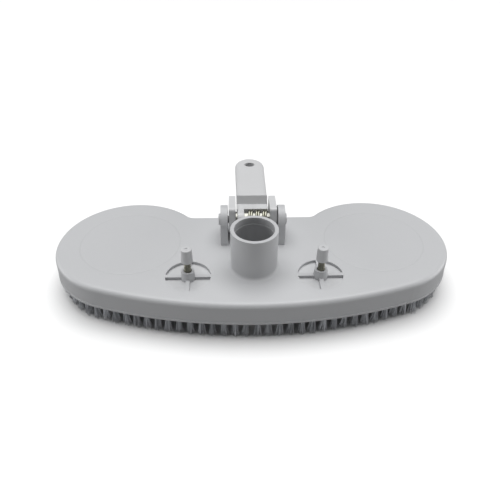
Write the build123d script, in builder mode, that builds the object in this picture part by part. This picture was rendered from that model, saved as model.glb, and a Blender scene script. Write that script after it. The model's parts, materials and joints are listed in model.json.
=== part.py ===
"""Butterfly pool vacuum head with a perimeter brush, hose port, relief valves and a hinged pole handle."""
from build123d import *
from math import atan2, cos, degrees, radians, sin, sqrt
import os

os.makedirs("parts", exist_ok=True)

# ---------------------------------------------------------------- heights
BRISTLE_LENGTH = 16.5
SKIRT_HEIGHT = 19.5
LIP_Z = BRISTLE_LENGTH
PLATE_Z = LIP_Z + SKIRT_HEIGHT
PLATE_T = 2.4
UNDER_Z = PLATE_Z - PLATE_T
FIT_GAP = 0.1
PAST = 2.0               # how far a cutting profile runs past what it cuts

# ---------------------------------------------------------------- hinge and handle
PIN_BACK = 39.6          # hose port axis to hinge pin axis
PIN_HEIGHT = 19.0        # hinge pin axis above the plate
PIN_R = 3.0
PIN_BORE_R = 3.06
EAR_R = 12.1
EAR_IN_X = 21.3
EAR_T = 6.0
CHEEK_IN_X = 14.6
CHEEK_T = 5.7
CHEEK_LENGTH = 22.4
CHEEK_FRONT = 5.6        # pin axis to the cheek's front face
CHEEK_FRONT_R = 2.6
CHEEK_CHIN = 9.0         # foot of the front face below the pin axis
HEEL_DROP = 16.1         # the heel stands on the plate when the handle lies back
HANDLE_TILT = 7.0        # how far the handle hangs below level at rest
LEVER_TOP = 12.1
LEVER_HALF_W = 13.5
TIP_HALF_W = 14.3        # the tongue widens a little towards its tip
TIP_LENGTH = 17.0        # half-elliptical end of the tongue
LEVER_START = 21.7
LEVER_END = 113.8
LEVER_SIDE = 8.0
LEVER_WALL = 2.6
LEVER_EDGE_R = 4.4
LOCK_HOLE_U = 95.3
LOCK_HOLE_R = 5.1
KNUCKLE_R = 6.5
KNUCKLE_X0 = -12.9
KNUCKLE_W = 5.6
FLOOR_V = 4.9            # top of the floor between the ramp and the coil
FLOOR_T = 2.4
FLOOR_FRONT = 9.6
RAMP_FOOT = 19.5
TROUGH_R = 13.4
TROUGH_V = 2.9
TROUGH_WALL = 2.6
TROUGH_START = 13.0
TROUGH_END = 108.0
RIM_V = 0.0
WEB_V = -4.0
RIM_END_V = -3.5
CHEEK_CORNER_R = 1.6

# ---------------------------------------------------------------- head outline
LIP_OUT = 0.5
LIP_H = 1.6
LOBE_X = 105.2
LOBE_R = 63.2
FRONT_REACH = 48.7       # port axis to the front wall
TILT_SIN = sin(radians(HANDLE_TILT))
TILT_COS = cos(radians(HANDLE_TILT))
REAR_REACH = (PIN_BACK + (LEVER_END - LEVER_EDGE_R) * TILT_COS
              + (LEVER_TOP - LEVER_EDGE_R) * TILT_SIN + LEVER_EDGE_R)
PORT_Y = (FRONT_REACH + LIP_OUT - REAR_REACH) / 2
FRONT_Y = PORT_Y - FRONT_REACH
LOBE_Y = PORT_Y + 32.9
WAIST_Y = PORT_Y + 72.8
WAIST_FILLET = 9.0
LOBE_BACK = LOBE_Y - FRONT_Y
FRONT_R = (LOBE_X**2 + LOBE_BACK**2 - LOBE_R**2) / (2 * (LOBE_BACK - LOBE_R))
TOP_EDGE_R = 4.0
SKIRT_T = 2.6
RIB_INSET = 9.0
RIB_T = 2.0
RIB_SPAN = 46.8          # stiffening rib between the port and a ballast ring
SPLIT_Y = PORT_Y
FRONT_SPLIT_X = 118.0
WAIST_SPLIT_X = 50.0
FAR = 400.0

# ---------------------------------------------------------------- brush
STRIP_H = 8.0
STRIP_Z = LIP_Z + 0.6
STRIP_END_GAP = 0.2
TUFT_INSET = 5.8
TUFT_PITCH = 8.9
TUFT_ROOT_R = 2.0
TUFT_TIP_R = 2.7

# ---------------------------------------------------------------- hose port
PORT_R = 19.05
PORT_MOUTH_R = 16.1
PORT_BORE_R = 15.8
PORT_MOUTH_DEPTH = 6.2
PORT_HEIGHT = 36.2
PORT_COVE = 2.8

# ---------------------------------------------------------------- relief valves
VALVE_X = 53.2
VALVE_Y = PORT_Y - 12.5
VALVE_HOLE_R = 18.3
SPOKE_W = 3.4
BOSS_R = 5.2
BOSS_FOOT_R = 5.7
BOSS_H = 5.7
BOSS_POCKET_R = 3.35
BOSS_LEDGE = 0.3         # floor of the boss pocket above the plate
STEM_R = 1.6
STEM_BORE_R = 1.68
DISC_R = 19.8
DISC_T = 2.0
DISC_HUB_R = 4.5
DISC_HUB_T = 3.0
DISC_EDGE_R = 0.8
STEM_FOOT_R = 3.2        # riveted foot of the stem, under the disc
STEM_FOOT_T = 1.6
STEM_FOOT_EDGE_R = 0.6
KNOB_Z = PLATE_Z + 14.9
KNOB_H = 12.0
KNOB_FOOT_R = 4.7
KNOB_TOP_R = 4.2
KNOB_SOCKET = 8.0
KNOB_EDGE_R = 0.7
DIMPLE_R = 1.3
DIMPLE_DEPTH = 0.5
DIMPLE_TAPER = 20
SPRING_WIRE_R = 0.4
SPRING_COIL_R = 2.35
SPRING_TURNS = 11

# ---------------------------------------------------------------- ballast
RING_R = 42.6
RING_WALL = 2.0
RING_H = 10.0
WEIGHT_R = 41.2
WEIGHT_T = 7.0
WEIGHT_HOLE_R = 8.0
WEIGHT_CHAMFER = 1.0
POST_R = 7.5
COVER_T = 2.0
COVER_EDGE_R = 1.2
SCREW_R = 2.0
SCREW_LENGTH = 8.0
SCREW_HEAD_R = 4.0
SCREW_HEAD_H = 1.8
SCREW_EDGE_R = 1.0
SLOT_L = 4.0
SLOT_W = 0.9
SLOT_DEPTH = 1.2

# ---------------------------------------------------------------- hinge hardware
HEAD_R = 5.0
HEAD_T = 1.8
HEAD_EDGE_R = 0.9
WASHER_R = 6.3
WASHER_T = 1.2
WASHER_GAP = 0.2
SLEEVE_R = 6.3
SLEEVE_X0 = -7.1
SLEEVE_X1 = 13.0
COIL_WIRE_R = 1.05
COIL_WIRE_SPACING = 2.0  # two wires lie side by side and are wound as one
COIL_R = 7.5
COIL_PITCH = 6.0
COIL_X0 = -4.85
COIL_START_ANGLE = -73.0  # seen from +X, measured up from the handle's own axis
COIL_END_ANGLE = 34.0
COIL_WHOLE_TURNS = 3
LOWER_LEG = 11.0
UPPER_LEG = 6.5

PIN_Y = PORT_Y + PIN_BACK
PIN_Z = PLATE_Z + PIN_HEIGHT


def save(builder, name):
    """Label a finished piece and write its STEP file."""
    builder.part.label = name
    export_step(builder.part, f"parts/{name}.step")


def side_plane(x):
    """Handle's side view at x: local X runs back along the handle, local Y is its upward normal."""
    return Plane(origin=(x, PIN_Y, PIN_Z), x_dir=(0, TILT_COS, -TILT_SIN), z_dir=(1, 0, 0))


def top_plane(height):
    """Handle's plan view at a height above the pin axis: local Y runs back along the handle."""
    origin = (0, PIN_Y + height * TILT_SIN, PIN_Z + height * TILT_COS)
    return Plane(origin=origin, x_dir=(1, 0, 0), z_dir=(0, TILT_SIN, TILT_COS))


def section_plane(reach):
    """Handle's cross-section at a distance behind the pin: local X is -X, local Y is its upward normal."""
    origin = (0, PIN_Y + reach * TILT_COS, PIN_Z - reach * TILT_SIN)
    return Plane(origin=origin, x_dir=(-1, 0, 0), z_dir=(0, TILT_COS, -TILT_SIN))


def ear_plane(x):
    """Upright side view at x: local X is +Y and local Y is +Z, centred on the pin."""
    return Plane(origin=(x, PIN_Y, PIN_Z), x_dir=(0, 1, 0), z_dir=(1, 0, 0))


# ---------------------------------------------------------------- outline of the head
def head_outline(inset):
    """Two round lobes joined by a long front arc and a straight waist, moved inward by inset."""
    lobe_r = LOBE_R - inset
    front_r = FRONT_R - inset
    front_cy = FRONT_Y + FRONT_R
    waist_y = WAIST_Y - inset
    angle = atan2(LOBE_Y - front_cy, LOBE_X)
    tangent_x = front_r * cos(angle)
    tangent_y = front_cy + front_r * sin(angle)
    corner_x = LOBE_X - sqrt(lobe_r**2 - (waist_y - LOBE_Y)**2)
    with BuildSketch() as outline:
        with BuildLine():
            ThreePointArc((-tangent_x, tangent_y), (0, front_cy - front_r), (tangent_x, tangent_y))
            ThreePointArc((tangent_x, tangent_y), (LOBE_X + lobe_r, LOBE_Y), (corner_x, waist_y))
            Line((corner_x, waist_y), (-corner_x, waist_y))
            ThreePointArc((-corner_x, waist_y), (-LOBE_X - lobe_r, LOBE_Y), (-tangent_x, tangent_y))
        make_face()
        waist_corners = outline.vertices().sort_by(Axis.Y)[-2:]
        fillet(waist_corners, WAIST_FILLET + inset)
    return outline.sketch


# ---------------------------------------------------------------- head shell
VALVE_SPOTS = [(-VALVE_X, VALVE_Y), (VALVE_X, VALVE_Y)]
LOBE_SPOTS = [(-LOBE_X, LOBE_Y), (LOBE_X, LOBE_Y)]
RING_BOTTOM = UNDER_Z - RING_H

with BuildPart() as head_shell:
    # plate and skirt
    with BuildSketch(Plane.XY.offset(LIP_Z)):
        add(head_outline(0))
    extrude(amount=SKIRT_HEIGHT)
    top_rim = head_shell.faces().sort_by(Axis.Z)[-1].edges()
    fillet(top_rim, TOP_EDGE_R)
    with BuildSketch(Plane.XY.offset(LIP_Z)):
        add(head_outline(-LIP_OUT))
    extrude(amount=LIP_H)
    with BuildSketch(Plane.XY.offset(LIP_Z)):
        add(head_outline(SKIRT_T))
    extrude(amount=UNDER_Z - LIP_Z - SKIRT_T, mode=Mode.SUBTRACT)
    with BuildSketch(Plane.XY.offset(LIP_Z)):
        add(head_outline(2 * SKIRT_T))
    extrude(amount=UNDER_Z - LIP_Z, mode=Mode.SUBTRACT)
    # inner rib that closes the brush channel
    with BuildSketch(Plane.XY.offset(STRIP_Z)):
        add(head_outline(RIB_INSET))
        add(head_outline(RIB_INSET + RIB_T), mode=Mode.SUBTRACT)
    extrude(amount=UNDER_Z - STRIP_Z)
    # round pockets for the ballast, each with a central post
    with BuildSketch(Plane.XY.offset(RING_BOTTOM)):
        with Locations(*LOBE_SPOTS):
            Circle(RING_R + RING_WALL / 2)
            Circle(RING_R - RING_WALL / 2, mode=Mode.SUBTRACT)
            Circle(POST_R)
    extrude(amount=RING_H)
    with BuildSketch(Plane.XY.offset(RING_BOTTOM)):
        with Locations(*LOBE_SPOTS):
            Circle(SCREW_R)
    extrude(amount=SCREW_LENGTH - COVER_T, mode=Mode.SUBTRACT)
    # stiffening ribs beside the port
    with BuildSketch(Plane.XY.offset(UNDER_Z - RING_H)):
        for side in (-1, 1):
            with Locations((side * (PORT_BORE_R + RIB_SPAN / 2), LOBE_Y)):
                Rectangle(RIB_SPAN, RIB_T)
    extrude(amount=RING_H)
    # hose port with a cove at its foot
    with BuildSketch(Plane.XY.offset(PLATE_Z)):
        with Locations((0, PORT_Y)):
            Circle(PORT_R)
    extrude(amount=PORT_HEIGHT)
    port_foot = head_shell.edges().filter_by(GeomType.CIRCLE).filter_by_position(
        Axis.Z, PLATE_Z - FIT_GAP, PLATE_Z + FIT_GAP).filter_by(lambda e: abs(e.radius - PORT_R) < FIT_GAP)
    fillet(port_foot, PORT_COVE)
    with BuildSketch(Plane.XY.offset(UNDER_Z)):
        with Locations((0, PORT_Y)):
            Circle(PORT_BORE_R)
    extrude(amount=PLATE_T + PORT_HEIGHT, mode=Mode.SUBTRACT)
    with BuildSketch(Plane.XY.offset(PLATE_Z + PORT_HEIGHT)):
        with Locations((0, PORT_Y)):
            Circle(PORT_MOUTH_R)
    extrude(amount=-PORT_MOUTH_DEPTH, mode=Mode.SUBTRACT)
    # relief valve windows with four spokes and a pocketed boss
    with BuildSketch(Plane.XY.offset(UNDER_Z)):
        with Locations(*VALVE_SPOTS):
            Circle(VALVE_HOLE_R)
            Rectangle(2 * VALVE_HOLE_R + PAST, SPOKE_W, mode=Mode.SUBTRACT)
            Rectangle(SPOKE_W, 2 * VALVE_HOLE_R + PAST, mode=Mode.SUBTRACT)
            Circle(BOSS_FOOT_R, mode=Mode.SUBTRACT)
    extrude(amount=PLATE_T, mode=Mode.SUBTRACT)
    for spot in VALVE_SPOTS:
        with BuildSketch(Plane((*spot, PLATE_Z))):
            Circle(BOSS_FOOT_R)
        with BuildSketch(Plane((*spot, PLATE_Z + BOSS_H))):
            Circle(BOSS_R)
        loft()
    with BuildSketch(Plane.XY.offset(UNDER_Z)):
        with Locations(*VALVE_SPOTS):
            Circle(STEM_BORE_R)
    extrude(amount=PLATE_T + BOSS_H, mode=Mode.SUBTRACT)
    with BuildSketch(Plane.XY.offset(PLATE_Z + BOSS_LEDGE)):
        with Locations(*VALVE_SPOTS):
            Circle(BOSS_POCKET_R)
    extrude(amount=BOSS_H, mode=Mode.SUBTRACT)
    # hinge ears
    for ear_x in (-EAR_IN_X - EAR_T, EAR_IN_X):
        with BuildSketch(ear_plane(ear_x)):
            Circle(EAR_R)
            with Locations((0, -PIN_HEIGHT / 2)):
                Rectangle(2 * EAR_R, PIN_HEIGHT)
            Circle(PIN_R, mode=Mode.SUBTRACT)
        extrude(amount=EAR_T)
save(head_shell, "head_shell")


# ---------------------------------------------------------------- perimeter brush
def region(name, gap):
    """Area of the head that one brush length covers: front arc, waist, or one lobe."""
    reach = FAR - SPLIT_Y
    with BuildSketch() as area:
        if name == "front":
            with Locations((0, SPLIT_Y - reach / 2)):
                Rectangle(2 * FRONT_SPLIT_X - gap, reach)
        elif name == "rear":
            with Locations((0, SPLIT_Y + reach / 2)):
                Rectangle(2 * WAIST_SPLIT_X - gap, reach)
        else:
            side = -1 if name == "left" else 1
            with Locations((side * (WAIST_SPLIT_X + FAR + gap) / 2, SPLIT_Y + reach / 2)):
                Rectangle(FAR - WAIST_SPLIT_X, reach)
            with Locations((side * (FRONT_SPLIT_X + FAR + gap) / 2, SPLIT_Y - reach / 2)):
                Rectangle(FAR - FRONT_SPLIT_X, reach)
    return area.sketch


def region_of(spot):
    """Name of the brush length that holds a tuft at this place."""
    split_x = FRONT_SPLIT_X if spot.Y < SPLIT_Y else WAIST_SPLIT_X
    if abs(spot.X) < split_x:
        return "front" if spot.Y < SPLIT_Y else "rear"
    return "left" if spot.X < 0 else "right"


tuft_line = head_outline(TUFT_INSET).faces()[0].outer_wire()
tuft_count = round(tuft_line.length / TUFT_PITCH)
tuft_spots = [tuft_line.position_at((i + 0.5) / tuft_count) for i in range(tuft_count)]
tuft_taper = degrees(atan2(TUFT_ROOT_R - TUFT_TIP_R, STRIP_Z))

for length_name in ("front", "rear", "left", "right"):
    with BuildPart() as brush_strip:
        with BuildSketch(Plane.XY.offset(STRIP_Z)):
            add(head_outline(SKIRT_T))
            add(head_outline(RIB_INSET), mode=Mode.SUBTRACT)
            add(region(length_name, STRIP_END_GAP), mode=Mode.INTERSECT)
        extrude(amount=STRIP_H)
    save(brush_strip, f"brush_strip_{length_name}")

    strip_spots = [(spot.X, spot.Y) for spot in tuft_spots if region_of(spot) == length_name]
    with BuildPart() as bristles:
        with BuildSketch(Plane.XY.offset(STRIP_Z)):
            with Locations(*strip_spots):
                Circle(TUFT_ROOT_R)
        extrude(amount=-STRIP_Z, taper=tuft_taper)
    save(bristles, f"bristles_{length_name}")

# ---------------------------------------------------------------- ballast and relief valves
for side_name, side in (("left", -1), ("right", 1)):
    with BuildPart() as ballast_weight:
        with BuildSketch(Plane((side * LOBE_X, LOBE_Y, UNDER_Z - WEIGHT_T))):
            Circle(WEIGHT_R)
            Circle(WEIGHT_HOLE_R, mode=Mode.SUBTRACT)
        extrude(amount=WEIGHT_T)
        chamfer(ballast_weight.faces().sort_by(Axis.Z)[0].edges(), WEIGHT_CHAMFER)
    save(ballast_weight, f"ballast_weight_{side_name}")

    with BuildPart() as ballast_cover:
        with BuildSketch(Plane((side * LOBE_X, LOBE_Y, RING_BOTTOM - COVER_T))):
            Circle(RING_R + RING_WALL / 2)
            Circle(SCREW_R, mode=Mode.SUBTRACT)
        extrude(amount=COVER_T)
        fillet(ballast_cover.faces().sort_by(Axis.Z)[0].edges().sort_by(SortBy.LENGTH)[-1], COVER_EDGE_R)
    save(ballast_cover, f"ballast_cover_{side_name}")

    with BuildPart() as ballast_screw:
        with BuildSketch(Plane((side * LOBE_X, LOBE_Y, RING_BOTTOM - COVER_T))):
            Circle(SCREW_R)
        extrude(amount=SCREW_LENGTH)
        with BuildSketch(Plane((side * LOBE_X, LOBE_Y, RING_BOTTOM - COVER_T))):
            Circle(SCREW_HEAD_R)
        extrude(amount=-SCREW_HEAD_H)
        fillet(ballast_screw.faces().sort_by(Axis.Z)[0].edges(), SCREW_EDGE_R)
        with BuildSketch(Plane((side * LOBE_X, LOBE_Y, RING_BOTTOM - COVER_T - SCREW_HEAD_H))):
            Rectangle(SLOT_L, SLOT_W)
            Rectangle(SLOT_W, SLOT_L)
        extrude(amount=SLOT_DEPTH, mode=Mode.SUBTRACT)
    save(ballast_screw, f"ballast_screw_{side_name}")

    with BuildPart() as valve_disc:
        with BuildSketch(Plane((side * VALVE_X, VALVE_Y, UNDER_Z - FIT_GAP))):
            Circle(DISC_R)
        extrude(amount=-DISC_T)
        fillet(valve_disc.faces().sort_by(Axis.Z)[0].edges(), DISC_EDGE_R)
        with BuildSketch(Plane((side * VALVE_X, VALVE_Y, UNDER_Z - FIT_GAP - DISC_T))):
            Circle(DISC_HUB_R)
        extrude(amount=-DISC_HUB_T)
        with BuildSketch(Plane((side * VALVE_X, VALVE_Y, UNDER_Z - FIT_GAP))):
            Circle(STEM_R)
        extrude(amount=-DISC_T - DISC_HUB_T, mode=Mode.SUBTRACT)
    save(valve_disc, f"valve_disc_{side_name}")

    stem_foot = UNDER_Z - FIT_GAP - DISC_T - DISC_HUB_T
    with BuildPart() as valve_stem:
        with BuildSketch(Plane((side * VALVE_X, VALVE_Y, stem_foot))):
            Circle(STEM_R)
        extrude(amount=KNOB_Z + KNOB_SOCKET - stem_foot)
        with BuildSketch(Plane((side * VALVE_X, VALVE_Y, stem_foot))):
            Circle(STEM_FOOT_R)
        extrude(amount=-STEM_FOOT_T)
        fillet(valve_stem.faces().sort_by(Axis.Z)[0].edges(), STEM_FOOT_EDGE_R)
    save(valve_stem, f"valve_stem_{side_name}")

    with BuildPart() as valve_knob:
        with BuildSketch(Plane((side * VALVE_X, VALVE_Y, KNOB_Z))):
            Circle(KNOB_FOOT_R)
        with BuildSketch(Plane((side * VALVE_X, VALVE_Y, KNOB_Z + KNOB_H))):
            Circle(KNOB_TOP_R)
        loft()
        fillet(valve_knob.faces().sort_by(Axis.Z)[-1].edges(), KNOB_EDGE_R)
        with BuildSketch(Plane((side * VALVE_X, VALVE_Y, KNOB_Z))):
            Circle(STEM_R)
        extrude(amount=KNOB_SOCKET, mode=Mode.SUBTRACT)
        with BuildSketch(Plane((side * VALVE_X, VALVE_Y, KNOB_Z + KNOB_H))):
            Circle(DIMPLE_R)
        extrude(amount=-DIMPLE_DEPTH, taper=DIMPLE_TAPER, mode=Mode.SUBTRACT)
    save(valve_knob, f"valve_knob_{side_name}")

    spring_foot = PLATE_Z + BOSS_LEDGE + SPRING_WIRE_R
    spring_height = KNOB_Z - SPRING_WIRE_R - spring_foot
    with BuildPart() as valve_spring:
        with BuildLine():
            Helix(spring_height / SPRING_TURNS, spring_height, SPRING_COIL_R,
                  center=(side * VALVE_X, VALVE_Y, spring_foot))
        wire_start = (side * VALVE_X + SPRING_COIL_R, VALVE_Y, spring_foot)
        with BuildSketch(Plane(origin=wire_start, x_dir=(1, 0, 0), z_dir=(0, 1, 0))):
            Circle(SPRING_WIRE_R)
        sweep(is_frenet=True)
    save(valve_spring, f"valve_spring_{side_name}")

# ---------------------------------------------------------------- pole yoke: cheeks and lower insert half
with BuildPart() as pole_yoke:
    for cheek_x in (-CHEEK_IN_X - CHEEK_T, CHEEK_IN_X):
        with BuildSketch(side_plane(cheek_x)):
            with BuildLine():
                Polyline((-CHEEK_FRONT, EAR_R), (CHEEK_LENGTH, EAR_R), (CHEEK_LENGTH, -HEEL_DROP),
                         (EAR_R, -HEEL_DROP), (-CHEEK_FRONT, -CHEEK_CHIN), (-CHEEK_FRONT, EAR_R))
            make_face()
            Circle(PIN_BORE_R, mode=Mode.SUBTRACT)
        extrude(amount=CHEEK_T)
    cheek_corners = pole_yoke.edges().filter_by(Axis.X).sort_by(Axis.Y)
    fillet(cheek_corners[-2:], CHEEK_CORNER_R)
    front_corners = pole_yoke.edges().filter_by(Axis.X).sort_by(Axis.Z)[-4:].sort_by(Axis.Y)[:2]
    fillet(front_corners, CHEEK_FRONT_R)
    # half-round trough that fills the lower half of the pole
    with BuildSketch(section_plane(TROUGH_START)):
        with Locations((0, TROUGH_V)):
            Circle(TROUGH_R)
            Circle(TROUGH_R - TROUGH_WALL, mode=Mode.SUBTRACT)
        with Locations((0, RIM_V + TROUGH_R)):
            Rectangle(2 * TROUGH_R, 2 * TROUGH_R, mode=Mode.SUBTRACT)
    extrude(amount=TROUGH_END - TROUGH_START)
    # webs that tie the trough to both cheeks
    with BuildSketch(section_plane(TROUGH_START)):
        with Locations((0, TROUGH_V - TROUGH_R + TROUGH_WALL / 2)):
            Rectangle(2 * CHEEK_IN_X, TROUGH_WALL)
        for side in (-1, 1):
            with Locations((side * (CHEEK_IN_X - TROUGH_WALL / 2), (WEB_V - TROUGH_R + TROUGH_V) / 2)):
                Rectangle(TROUGH_WALL, WEB_V + TROUGH_R - TROUGH_V)
    extrude(amount=CHEEK_LENGTH - TROUGH_START)
    # rims slope down so that the lever can be pressed
    with BuildSketch(side_plane(-CHEEK_IN_X)):
        with BuildLine():
            Polyline((CHEEK_LENGTH, RIM_V), (TROUGH_END + PAST, RIM_END_V),
                     (TROUGH_END + PAST, TROUGH_R), (CHEEK_LENGTH, TROUGH_R), (CHEEK_LENGTH, RIM_V))
        make_face()
    extrude(amount=2 * CHEEK_IN_X, mode=Mode.SUBTRACT)
save(pole_yoke, "pole_yoke")

# ---------------------------------------------------------------- clip lever: tongue, ramp, floor and knuckle
LEVER_UNDER = LEVER_TOP - LEVER_SIDE


def tongue_outline(inset, front):
    """Slightly flaring tongue with a half-elliptical end, moved inward by inset, starting at front."""
    front_w = LEVER_HALF_W - inset
    tip_w = TIP_HALF_W - inset
    end_u = LEVER_END - TIP_LENGTH
    with BuildSketch() as outline:
        with BuildLine():
            Line((-front_w, front), (front_w, front))
            Line((front_w, front), (tip_w, end_u))
            EllipticalCenterArc((0, end_u), tip_w, TIP_LENGTH - inset, start_angle=0, arc_size=180)
            Line((-tip_w, end_u), (-front_w, front))
        make_face()
    return outline.sketch


with BuildPart() as clip_lever:
    with BuildSketch(top_plane(LEVER_UNDER)):
        add(tongue_outline(0, LEVER_START))
    extrude(amount=LEVER_SIDE)
    rim = clip_lever.faces().sort_by(Axis(origin=(0, 0, 0), direction=(0, TILT_SIN, TILT_COS)))[-1]
    front_edge = rim.edges().sort_by(Axis.Y)[0]
    fillet(rim.edges() - ShapeList([front_edge]), LEVER_EDGE_R)
    with BuildSketch(top_plane(LEVER_UNDER)):
        add(tongue_outline(LEVER_WALL, LEVER_START + LEVER_WALL))
    extrude(amount=LEVER_SIDE - LEVER_WALL, mode=Mode.SUBTRACT)
    with BuildSketch(top_plane(LEVER_UNDER)):
        with Locations((0, LOCK_HOLE_U)):
            Circle(LOCK_HOLE_R + LEVER_WALL / 2)
    extrude(amount=LEVER_SIDE - LEVER_WALL)
    with BuildSketch(top_plane(LEVER_UNDER)):
        with Locations((0, LOCK_HOLE_U)):
            Circle(LOCK_HOLE_R)
    extrude(amount=LEVER_SIDE, mode=Mode.SUBTRACT)
    # ramp down from the tongue to the floor behind the coil
    with BuildSketch(side_plane(-LEVER_HALF_W)):
        with BuildLine():
            Polyline((LEVER_START, LEVER_TOP), (RAMP_FOOT, FLOOR_V), (FLOOR_FRONT, FLOOR_V),
                     (FLOOR_FRONT, FLOOR_V - FLOOR_T), (LEVER_START + LEVER_WALL, FLOOR_V - FLOOR_T),
                     (LEVER_START + LEVER_WALL, LEVER_TOP - LEVER_WALL), (LEVER_START, LEVER_TOP))
        make_face()
    extrude(amount=2 * LEVER_HALF_W)
    # knuckle on the pin
    with BuildSketch(side_plane(KNUCKLE_X0)):
        Circle(KNUCKLE_R)
        with Locations((FLOOR_FRONT / 2, FLOOR_V - FLOOR_T / 2)):
            Rectangle(FLOOR_FRONT, FLOOR_T)
    extrude(amount=KNUCKLE_W)
    with BuildSketch(side_plane(KNUCKLE_X0)):
        Circle(PIN_BORE_R)
    extrude(amount=KNUCKLE_W, mode=Mode.SUBTRACT)
save(clip_lever, "clip_lever")

# ---------------------------------------------------------------- hinge hardware
PIN_END = EAR_IN_X + EAR_T

with BuildPart() as hinge_pin:
    with BuildSketch(ear_plane(-PIN_END)):
        Circle(PIN_R)
    extrude(amount=2 * PIN_END + HEAD_T / 2)
    with BuildSketch(ear_plane(-PIN_END)):
        Circle(HEAD_R)
    extrude(amount=-HEAD_T)
    fillet(hinge_pin.faces().sort_by(Axis.X)[0].edges(), HEAD_EDGE_R)
save(hinge_pin, "hinge_pin")

with BuildPart() as pin_cap:
    with BuildSketch(ear_plane(PIN_END)):
        Circle(HEAD_R)
    extrude(amount=HEAD_T)
    fillet(pin_cap.faces().sort_by(Axis.X)[-1].edges(), HEAD_EDGE_R)
    with BuildSketch(ear_plane(PIN_END)):
        Circle(PIN_R)
    extrude(amount=HEAD_T / 2, mode=Mode.SUBTRACT)
save(pin_cap, "pin_cap")

WASHER_START = CHEEK_IN_X - WASHER_GAP
for side_name, washer_x in (("left", -WASHER_START), ("right", WASHER_START - WASHER_T)):
    with BuildPart() as washer:
        with BuildSketch(ear_plane(washer_x)):
            Circle(WASHER_R)
            Circle(PIN_R, mode=Mode.SUBTRACT)
        extrude(amount=WASHER_T)
    save(washer, f"hinge_washer_{side_name}")

with BuildPart() as spring_sleeve:
    with BuildSketch(ear_plane(SLEEVE_X0)):
        Circle(SLEEVE_R)
        Circle(PIN_R, mode=Mode.SUBTRACT)
    extrude(amount=SLEEVE_X1 - SLEEVE_X0)
save(spring_sleeve, "spring_sleeve")

# torsion spring: a left-hand coil of paired wire, one leg over the trough and one under the lever's floor
coil_turns = COIL_WHOLE_TURNS + (COIL_START_ANGLE - COIL_END_ANGLE) / 360
coil_height = COIL_PITCH * coil_turns
pin_axis = Axis((0, PIN_Y, PIN_Z), (1, 0, 0))
coil_foot = (COIL_X0, PIN_Y, PIN_Z)
coil = Helix(COIL_PITCH, coil_height, COIL_R, center=coil_foot, direction=(1, 0, 0), lefthand=True)
coil = coil.rotate(pin_axis, COIL_START_ANGLE - HANDLE_TILT - 90)
wire_pair = [(-COIL_WIRE_SPACING / 2, 0), (COIL_WIRE_SPACING / 2, 0)]
with BuildPart() as lever_spring:
    with BuildSketch(Plane(origin=coil @ 0, x_dir=(1, 0, 0), z_dir=coil % 0)):
        with Locations(*wire_pair):
            Circle(COIL_WIRE_R)
    sweep(path=coil, is_frenet=True)
    with BuildSketch(Plane(origin=coil @ 0, x_dir=(1, 0, 0), z_dir=-(coil % 0))):
        with Locations(*wire_pair):
            Circle(COIL_WIRE_R)
    extrude(amount=LOWER_LEG)
    with BuildSketch(Plane(origin=coil @ 1, x_dir=(1, 0, 0), z_dir=coil % 1)):
        with Locations(*wire_pair):
            Circle(COIL_WIRE_R)
    extrude(amount=UPPER_LEG)
save(lever_spring, "lever_spring")
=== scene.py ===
"""Looks of the butterfly pool vacuum head: materials, nylon bristles, studio light and camera."""
import json
import math
import random

import bmesh
import bpy
from mathutils import Matrix, Vector


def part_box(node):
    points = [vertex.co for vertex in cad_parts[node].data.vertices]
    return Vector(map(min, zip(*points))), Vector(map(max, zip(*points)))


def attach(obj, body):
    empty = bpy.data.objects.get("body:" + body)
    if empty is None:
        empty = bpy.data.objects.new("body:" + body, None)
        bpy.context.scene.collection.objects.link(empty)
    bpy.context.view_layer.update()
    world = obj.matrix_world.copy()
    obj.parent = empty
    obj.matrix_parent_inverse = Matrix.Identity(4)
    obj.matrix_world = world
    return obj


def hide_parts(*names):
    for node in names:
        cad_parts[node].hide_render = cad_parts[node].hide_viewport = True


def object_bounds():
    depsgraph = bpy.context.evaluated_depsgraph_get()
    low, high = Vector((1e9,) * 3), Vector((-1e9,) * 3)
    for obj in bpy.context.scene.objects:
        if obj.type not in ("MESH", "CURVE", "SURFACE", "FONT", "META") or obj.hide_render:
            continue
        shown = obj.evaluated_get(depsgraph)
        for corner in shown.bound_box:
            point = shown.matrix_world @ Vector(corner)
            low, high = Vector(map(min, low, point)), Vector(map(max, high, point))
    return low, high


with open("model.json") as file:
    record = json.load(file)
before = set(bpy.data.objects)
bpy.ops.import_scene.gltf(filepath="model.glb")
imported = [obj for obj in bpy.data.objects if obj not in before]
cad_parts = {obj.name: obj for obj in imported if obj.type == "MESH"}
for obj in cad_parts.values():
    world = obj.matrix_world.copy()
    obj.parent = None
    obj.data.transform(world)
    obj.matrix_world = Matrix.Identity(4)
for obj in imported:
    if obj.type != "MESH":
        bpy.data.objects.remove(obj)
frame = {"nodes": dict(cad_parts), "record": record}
cad_low, cad_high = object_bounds()
nodes = frame["nodes"]
mounts = {m["name"]: m for m in frame["record"]["mounts"]}

MM = 0.001
SIDES = ("left", "right")
LENGTHS = ("front", "rear", "left", "right")

# ---------------------------------------------------------------- places read from the frame
spigot = mounts["hose_spigot"]
port_axis = Vector(spigot["pos_m"])
BOSS_LEDGE = 0.3 * MM  # the valve springs stand this far above the top of the plate
plate_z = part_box("valve_spring_left")[0].z - BOSS_LEDGE


def centre_of(node):
    """Middle of a CAD node's box."""
    low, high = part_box(node)
    return (low + high) / 2


# ---------------------------------------------------------------- camera
CAMERA_DISTANCE = 469.33 * MM
CAMERA_ELEVATION = math.radians(37.22)
CAMERA_YAW = math.radians(-2.0)
CAMERA_ROLL = math.radians(0.55)
FOCAL_LENGTH = 39.71
SENSOR = 36.0
AIM_OFFSET = Vector((-2.65, 20.68, 0.0)) * MM  # aim point from the port's axis, on the plate's top


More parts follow.
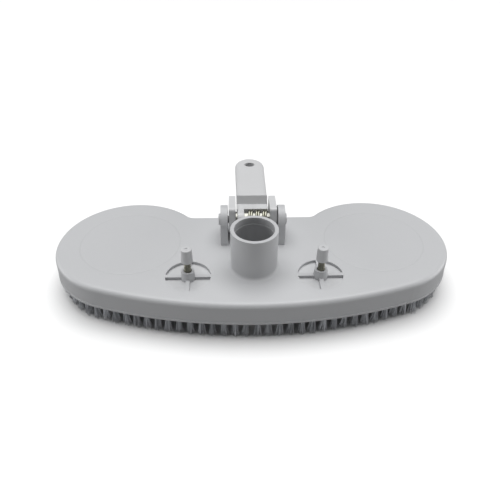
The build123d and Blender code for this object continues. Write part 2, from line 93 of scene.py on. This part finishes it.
def make_camera():
    """Camera that looks slightly down over the front edge, from a little left of the middle."""
    aim = Vector((port_axis.x, port_axis.y, plate_z)) + AIM_OFFSET
    back = Vector((math.sin(CAMERA_YAW) * math.cos(CAMERA_ELEVATION),
                   -math.cos(CAMERA_YAW) * math.cos(CAMERA_ELEVATION),
                   math.sin(CAMERA_ELEVATION)))
    level_right = Vector((math.cos(CAMERA_YAW), math.sin(CAMERA_YAW), 0.0))
    level_up = back.cross(level_right)
    right = level_right * math.cos(CAMERA_ROLL) + level_up * math.sin(CAMERA_ROLL)
    up = level_up * math.cos(CAMERA_ROLL) - level_right * math.sin(CAMERA_ROLL)
    data = bpy.data.cameras.new("camera")
    data.lens = FOCAL_LENGTH
    data.sensor_width = SENSOR
    data.clip_start = 10 * MM
    data.clip_end = 20.0
    camera = bpy.data.objects.new("camera", data)
    bpy.context.scene.collection.objects.link(camera)
    turn = Matrix((right, up, back)).transposed().to_4x4()
    camera.matrix_world = Matrix.Translation(aim + back * CAMERA_DISTANCE) @ turn
    bpy.context.scene.camera = camera


make_camera()


# ---------------------------------------------------------------- node helpers
class Graph:
    """A material's node graph, with short calls for the nodes used here."""

    def __init__(self, name):
        self.material = bpy.data.materials.new(name)
        self.material.use_nodes = True
        self.tree = self.material.node_tree
        self.shader = self.tree.nodes["Principled BSDF"]
        self.position = self.tree.nodes.new("ShaderNodeTexCoord").outputs["Object"]

    def put(self, kind, **inputs):
        """Adds a node. Inputs given as sockets are linked and others are set."""
        node = self.tree.nodes.new(kind)
        for key, value in inputs.items():
            self.connect(value, node.inputs[key.replace("_", " ")])
        return node

    def connect(self, value, socket):
        """Links value to socket if it is a socket, or sets it."""
        if isinstance(value, bpy.types.NodeSocket):
            self.tree.links.new(value, socket)
        else:
            socket.default_value = value

    def math(self, operation, a, b=0.0, clamp=False):
        """A Math node's result."""
        node = self.tree.nodes.new("ShaderNodeMath")
        node.operation = operation
        node.use_clamp = clamp
        self.connect(a, node.inputs[0])
        self.connect(b, node.inputs[1])
        return node.outputs[0]

    def noise(self, scale, detail=3.0, roughness=0.5, vector=None):
        """Noise from 0 to 1 in object space. Scale is in waves per metre."""
        node = self.put("ShaderNodeTexNoise", Scale=scale, Detail=detail, Roughness=roughness)
        self.tree.links.new(vector or self.position, node.inputs["Vector"])
        return node.outputs["Fac"]

    def ramp(self, value, low, high, from_low=0.0, from_high=1.0):
        """Maps value from one range onto another, clamped."""
        node = self.put("ShaderNodeMapRange", Value=value)
        node.inputs["From Min"].default_value = from_low
        node.inputs["From Max"].default_value = from_high
        node.inputs["To Min"].default_value = low
        node.inputs["To Max"].default_value = high
        return node.outputs["Result"]

    def mix(self, factor, a, b):
        """Colour mix of a and b."""
        node = self.tree.nodes.new("ShaderNodeMix")
        node.data_type = "RGBA"
        self.connect(factor, node.inputs[0])
        self.connect(a, node.inputs[6])
        self.connect(b, node.inputs[7])
        return node.outputs[2]

    def bump(self, height, distance, strength=1.0, under=None):
        """Bump of a height field, on top of another bump if one is given."""
        node = self.put("ShaderNodeBump", Height=height, Distance=distance, Strength=strength)
        if under is not None:
            self.tree.links.new(under, node.inputs["Normal"])
        return node.outputs["Normal"]

    def finish(self, colour, roughness, normal=None, **constants):
        """Wires the shader and sets its constants."""
        self.connect(colour, self.shader.inputs["Base Color"])
        self.connect(roughness, self.shader.inputs["Roughness"])
        if normal is not None:
            self.connect(normal, self.shader.inputs["Normal"])
        for key, value in constants.items():
            self.shader.inputs[key.replace("_", " ")].default_value = value
        return self.material


def grey(level, warmth=0.0):
    """A near-neutral colour. Warmth above 0 leans warm and below 0 leans blue."""
    return (level * (1 + warmth), level * (1 + warmth * 0.3), level * (1 - warmth), 1.0)


def straw(level, tint):
    """A metal's colour that leans towards a yellowish grey."""
    return (level * (1 + tint), level * (1 + tint * 0.85), level * (1 - tint), 1.0)


# ---------------------------------------------------------------- materials
SINK_WIDTH = 0.9 * MM   # half width of a sink line
SINK_DEPTH = 0.12 * MM
TOP_MARGIN = 0.5 * MM   # only faces above this depth count as the plate's top
WORN_LENGTH = 7 * MM    # how far the paler end of a bristle reaches


def moulded_plastic(name, level, warmth, roughness, rings=()):
    """Satin injection-moulded plastic: fine spark texture, faint flow marks and, where rings are given,
    the shallow sink lines that round walls under the plate leave in its top, each darkened a little in
    colour as painted shade."""
    g = Graph(name)
    flow = g.noise(9.0, detail=2.0, roughness=0.45)
    mottle = g.noise(140.0, detail=4.0, roughness=0.6)
    colour = g.mix(flow, grey(level * 0.972, warmth), grey(level * 1.022, warmth))
    colour = g.mix(g.math("MULTIPLY", mottle, 0.10), colour, grey(level * 0.86, warmth + 0.01))
    grain = g.noise(2600.0, detail=2.0, roughness=0.55)
    normal = g.bump(grain, 0.012 * MM, 0.55)
    waves = g.noise(26.0, detail=1.0, roughness=0.3)
    normal = g.bump(waves, 0.12 * MM, 0.35, under=normal)
    for centre, radius in rings:
        line = sink_line_and_painted_shade(g, centre, radius)
        normal = g.bump(line, -SINK_DEPTH, 0.9, under=normal)
        # Painted shade: the colour along each sink line is darkened a little, on top of the line's real dip.
        colour = g.mix(g.math("MULTIPLY", line, 0.10), colour, grey(level * 0.55, warmth))
    rough = g.ramp(mottle, roughness - 0.05, roughness + 0.06, 0.3, 0.7)
    return g.finish(colour, rough, normal, IOR=1.49)


def sink_line_and_painted_shade(g, centre, radius):
    """1 on a circle about an upright axis, falling to 0 within the line's width, on the top face only."""
    shift = g.put("ShaderNodeVectorMath", Vector=g.position)
    shift.operation = "SUBTRACT"
    shift.inputs[1].default_value = (centre.x, centre.y, 0.0)
    split = g.put("ShaderNodeSeparateXYZ", Vector=shift.outputs[0])
    across = g.math("SQRT", g.math("ADD", g.math("POWER", split.outputs["X"], 2.0),
                                   g.math("POWER", split.outputs["Y"], 2.0)))
    off = g.math("ABSOLUTE", g.math("SUBTRACT", across, radius))
    near = g.ramp(off, 1.0, 0.0, 0.0, SINK_WIDTH)
    top = g.math("GREATER_THAN", split.outputs["Z"], plate_z - TOP_MARGIN)
    return g.math("MULTIPLY", near, top)


def nylon_filament(name):
    """Grey nylon bristle: each filament has its own shade, and its cut tip is a little paler."""
    g = Graph(name)
    shade = g.put("ShaderNodeAttribute")
    shade.attribute_name = "shade"
    along = g.put("ShaderNodeSeparateXYZ", Vector=g.position).outputs["Z"]
    base = g.mix(shade.outputs["Fac"], grey(0.30, -0.05), grey(0.80, -0.035))
    worn = g.ramp(along, 0.45, 0.0, 0.0, WORN_LENGTH)
    colour = g.mix(worn, base, grey(0.78, -0.025))
    streak = g.noise(900.0, detail=2.0)
    rough = g.ramp(streak, 0.34, 0.5)
    normal = g.bump(streak, 0.02 * MM, 0.5)
    return g.finish(colour, rough, normal, IOR=1.53)


def bright_wire(name, level, tint, roughness):
    """Drawn stainless wire or turned sleeve: fine draw lines, slight tarnish in patches."""
    g = Graph(name)
    stretch = g.put("ShaderNodeMapping", Vector=g.position)
    stretch.inputs["Scale"].default_value = (1.0, 9.0, 9.0)
    lines = g.noise(700.0, detail=3.0, vector=stretch.outputs["Vector"])
    patches = g.noise(160.0, detail=3.0)
    tarnish = g.ramp(patches, 0.0, 0.45, 0.5, 0.75)
    colour = g.mix(tarnish, straw(level, tint), straw(level * 0.66, tint + 0.05))
    rough = g.ramp(lines, roughness - 0.06, roughness + 0.10, 0.3, 0.7)
    normal = g.bump(lines, 0.01 * MM, 0.5)
    return g.finish(colour, rough, normal, Metallic=1.0)


def coated_iron(name):
    """Dip-coated cast iron: lumpy black coating with a dull sheen."""
    g = Graph(name)
    lumps = g.noise(420.0, detail=5.0, roughness=0.6)
    colour = g.mix(lumps, grey(0.018), grey(0.045))
    rough = g.ramp(lumps, 0.42, 0.7)
    normal = g.bump(lumps, 0.18 * MM, 0.8)
    return g.finish(colour, rough, normal)


SINK_RING_R = 42.6 * MM
LEVEL_BODY = 0.49
LEVEL_HANDLE = 0.58
body_rings = [(centre_of(f"ballast_cover_{side}"), SINK_RING_R) for side in SIDES]
materials = {
    "body_plastic": moulded_plastic("body_plastic", LEVEL_BODY, -0.017, 0.42, body_rings),
    "cover_plastic": moulded_plastic("cover_plastic", 0.46, -0.012, 0.45),
    "handle_plastic": moulded_plastic("handle_plastic", LEVEL_HANDLE, -0.010, 0.40),
    "valve_plastic": moulded_plastic("valve_plastic", 0.52, -0.014, 0.42),
    "hinge_plastic": moulded_plastic("hinge_plastic", 0.47, -0.015, 0.38),
    # Near-black strip: partly its own dark plastic, partly painted shade for the deep gaps between the
    # tufts.
    "strip_plastic": moulded_plastic("strip_plastic", 0.05, -0.02, 0.6),
    "bristle_nylon": nylon_filament("bristle_nylon"),
    "ballast_iron": coated_iron("ballast_iron"),
    "stainless": bright_wire("stainless", 0.30, 0.05, 0.32),
    "spring_steel": bright_wire("spring_steel", 0.30, 0.10, 0.30),
}


def dress_cad_nodes():
    """Gives each CAD node the material of its slot."""
    for row in frame["record"]["subparts"]:
        mesh = nodes[row["node"]].data
        mesh.materials.clear()
        mesh.materials.append(materials[row["material_slot"]])


dress_cad_nodes()


# ---------------------------------------------------------------- bristles
FILAMENTS = 28
FILAMENT_R = 0.28 * MM
FILAMENT_SIDES = 6
FILAMENT_STEPS = 5
ROOT_SPREAD = 1.5 * MM
TIP_SPREAD = 3.2 * MM
STRAY_SPREAD = 1.2 * MM
TIP_RAGGED = 0.9 * MM
ROOT_SINK = 1.0 * MM


def tuft_spots(node):
    """Centre of each separate tuft of a CAD bristle node."""
    shape = bmesh.new()
    shape.from_mesh(nodes[node].data)
    left = set(shape.verts)
    spots = []
    while left:
        queue = [left.pop()]
        island = []
        while queue:
            vertex = queue.pop()
            island.append(vertex.co)
            for edge in vertex.link_edges:
                other = edge.other_vert(vertex)
                if other in left:
                    left.remove(other)
                    queue.append(other)
        low = Vector(min(co[i] for co in island) for i in range(3))
        high = Vector(max(co[i] for co in island) for i in range(3))
        spots.append((low + high) / 2)
    shape.free()
    return merged(spots)


def merged(spots):
    """Spots in a fixed order, with those of one tuft's unjoined faces brought together."""
    kept = []
    for spot in sorted(spots, key=lambda s: (round(s.x, 5), round(s.y, 5))):
        if all((spot.xy - other.xy).length > TIP_SPREAD for other in kept):
            kept.append(spot)
    return kept


def add_filament(shape, layer, root, tip, bow, shade):
    """One tapered, slightly bowed filament with a rounded cut tip."""
    rings = []
    for step in range(FILAMENT_STEPS + 1):
        t = step / FILAMENT_STEPS
        centre = root.lerp(tip, t)
        flare = t ** 1.7 - t
        centre += Vector(((tip.x - root.x) * flare, (tip.y - root.y) * flare, 0.0))
        centre += bow * math.sin(math.pi * t)
        radius = FILAMENT_R * (1.0 - 0.18 * t)
        if step == FILAMENT_STEPS:
            radius *= 0.72
        ring = []
        for corner in range(FILAMENT_SIDES):
            angle = 2 * math.pi * corner / FILAMENT_SIDES
            vertex = shape.verts.new(centre + Vector((math.cos(angle), math.sin(angle), 0.0)) * radius)
            vertex[layer] = shade
            ring.append(vertex)
        rings.append(ring)
    for upper, lower in zip(rings, rings[1:]):
        for corner in range(FILAMENT_SIDES):
            after = (corner + 1) % FILAMENT_SIDES
            face = shape.faces.new((upper[corner], lower[corner], lower[after], upper[after]))
            face.smooth = True
    shape.faces.new(rings[0])
    shape.faces.new(reversed(rings[-1]))


def make_bristles(length_name, draw):
    """All tufts of one brush length as separate nylon filaments."""
    node = f"bristles_{length_name}"
    low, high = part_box(node)
    shape = bmesh.new()
    layer = shape.verts.layers.float.new("shade")
    for spot in tuft_spots(node):
        lean = Vector((draw.gauss(0, 0.35), draw.gauss(0, 0.35), 0.0)) * MM
        spread = TIP_SPREAD * draw.uniform(0.88, 1.15)
        tone = draw.uniform(0.35, 0.75)
        for index in range(FILAMENTS):
            share = math.sqrt((index + 0.5) / FILAMENTS)
            angle = index * math.pi * (3 - math.sqrt(5)) + draw.uniform(-0.3, 0.3)
            out = Vector((math.cos(angle), math.sin(angle), 0.0))
            root = Vector((spot.x, spot.y, high.z + ROOT_SINK)) + out * share * ROOT_SPREAD
            stray = abs(draw.gauss(0, 0.4)) * STRAY_SPREAD
            side = Vector((draw.gauss(0, 0.3), draw.gauss(0, 0.3), 0.0)) * MM
            tip = Vector((spot.x, spot.y, low.z)) + out * (share * spread + stray) + lean + side
            tip.z += FILAMENT_R * 0.2 + draw.uniform(0, TIP_RAGGED) * draw.random()
            bow = Vector((draw.gauss(0, 0.16), draw.gauss(0, 0.16), 0.0)) * MM
            shade = min(1.0, max(0.0, tone + draw.gauss(0, 0.28)))
            add_filament(shape, layer, root, tip, bow, shade)
    bmesh.ops.recalc_face_normals(shape, faces=shape.faces)
    mesh = bpy.data.meshes.new(f"filaments_{length_name}")
    shape.to_mesh(mesh)
    shape.free()
    mesh.materials.append(materials["bristle_nylon"])
    piece = bpy.data.objects.new(f"filaments_{length_name}", mesh)
    bpy.context.scene.collection.objects.link(piece)
    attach(piece, "head")
    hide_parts(node)


dice = random.Random(7)
for length in LENGTHS:
    make_bristles(length, dice)


# ---------------------------------------------------------------- floor and light
FLOOR_HALF_SIZE = 12.0
FLOOR_DROP = 0.05 * MM
FLOOR_BOUNCE = 0.34     # how much light the floor sends back up onto the head
SURROUND_LEVEL = 0.08   # how much light the studio surround sends onto the head
BACKDROP_LEVEL = 1.05   # how bright the surround is where it is seen


def make_floor():
    """Plain pale floor under the bristle tips."""
    shape = bmesh.new()
    bmesh.ops.create_grid(shape, x_segments=2, y_segments=2, size=FLOOR_HALF_SIZE)
    mesh = bpy.data.meshes.new("floor")
    shape.to_mesh(mesh)
    shape.free()
    g = Graph("floor")
    paper = g.noise(4.0, detail=1.0)
    seen = g.mix(paper, grey(0.89), grey(0.90))
    direct = g.tree.nodes.new("ShaderNodeLightPath").outputs["Is Camera Ray"]
    g.finish(g.mix(direct, grey(FLOOR_BOUNCE), seen), 0.9, Specular_IOR_Level=0.0)
    mesh.materials.append(g.material)
    floor = bpy.data.objects.new("floor", mesh)
    floor.location.z = cad_low.z - FLOOR_DROP
    bpy.context.scene.collection.objects.link(floor)


def add_sun(name, elevation, azimuth, strength, spread):
    """Soft parallel light from a direction given in degrees. Azimuth 0 shines from the front."""
    data = bpy.data.lights.new(name, "SUN")
    data.energy = strength
    data.angle = math.radians(spread)
    lamp = bpy.data.objects.new(name, data)
    e, a = math.radians(elevation), math.radians(azimuth)
    source = Vector((math.sin(a) * math.cos(e), -math.cos(a) * math.cos(e), math.sin(e)))
    lamp.rotation_mode = "QUATERNION"
    lamp.rotation_quaternion = source.to_track_quat("Z", "Y")
    bpy.context.scene.collection.objects.link(lamp)


def add_softbox(name, place, size, power):
    """Area light that faces the head."""
    data = bpy.data.lights.new(name, "AREA")
    data.shape = "RECTANGLE"
    data.size = size[0]
    data.size_y = size[1]
    data.energy = power
    lamp = bpy.data.objects.new(name, data)
    lamp.location = place
    lamp.rotation_mode = "QUATERNION"
    lamp.rotation_quaternion = Vector(place).to_track_quat("Z", "Y")
    bpy.context.scene.collection.objects.link(lamp)


def make_world():
    """Even studio surround: dim as a light, pale where it is seen."""
    world = bpy.data.worlds.new("studio")
    world.use_nodes = True
    background = world.node_tree.nodes["Background"]
    background.inputs["Color"].default_value = (0.97, 0.985, 1.0, 1.0)
    path = world.node_tree.nodes.new("ShaderNodeLightPath")
    level = world.node_tree.nodes.new("ShaderNodeMapRange")
    level.inputs["To Min"].default_value = SURROUND_LEVEL
    level.inputs["To Max"].default_value = BACKDROP_LEVEL
    world.node_tree.links.new(path.outputs["Is Camera Ray"], level.inputs["Value"])
    world.node_tree.links.new(level.outputs["Result"], background.inputs["Strength"])
    bpy.context.scene.world = world


make_floor()
add_sun("top_light", elevation=80, azimuth=180, strength=3.05, spread=60)
add_softbox("left_box", place=(-1.3, 0.1, 0.35), size=(0.9, 0.5), power=7)
add_softbox("right_box", place=(1.3, 0.1, 0.35), size=(0.9, 0.5), power=6.5)
add_softbox("front_box", place=(0.0, -1.4, 0.10), size=(1.2, 0.25), power=2.0)
make_world()
bpy.context.scene.view_settings.view_transform = "Standard"
bpy.context.scene.view_settings.look = "None"
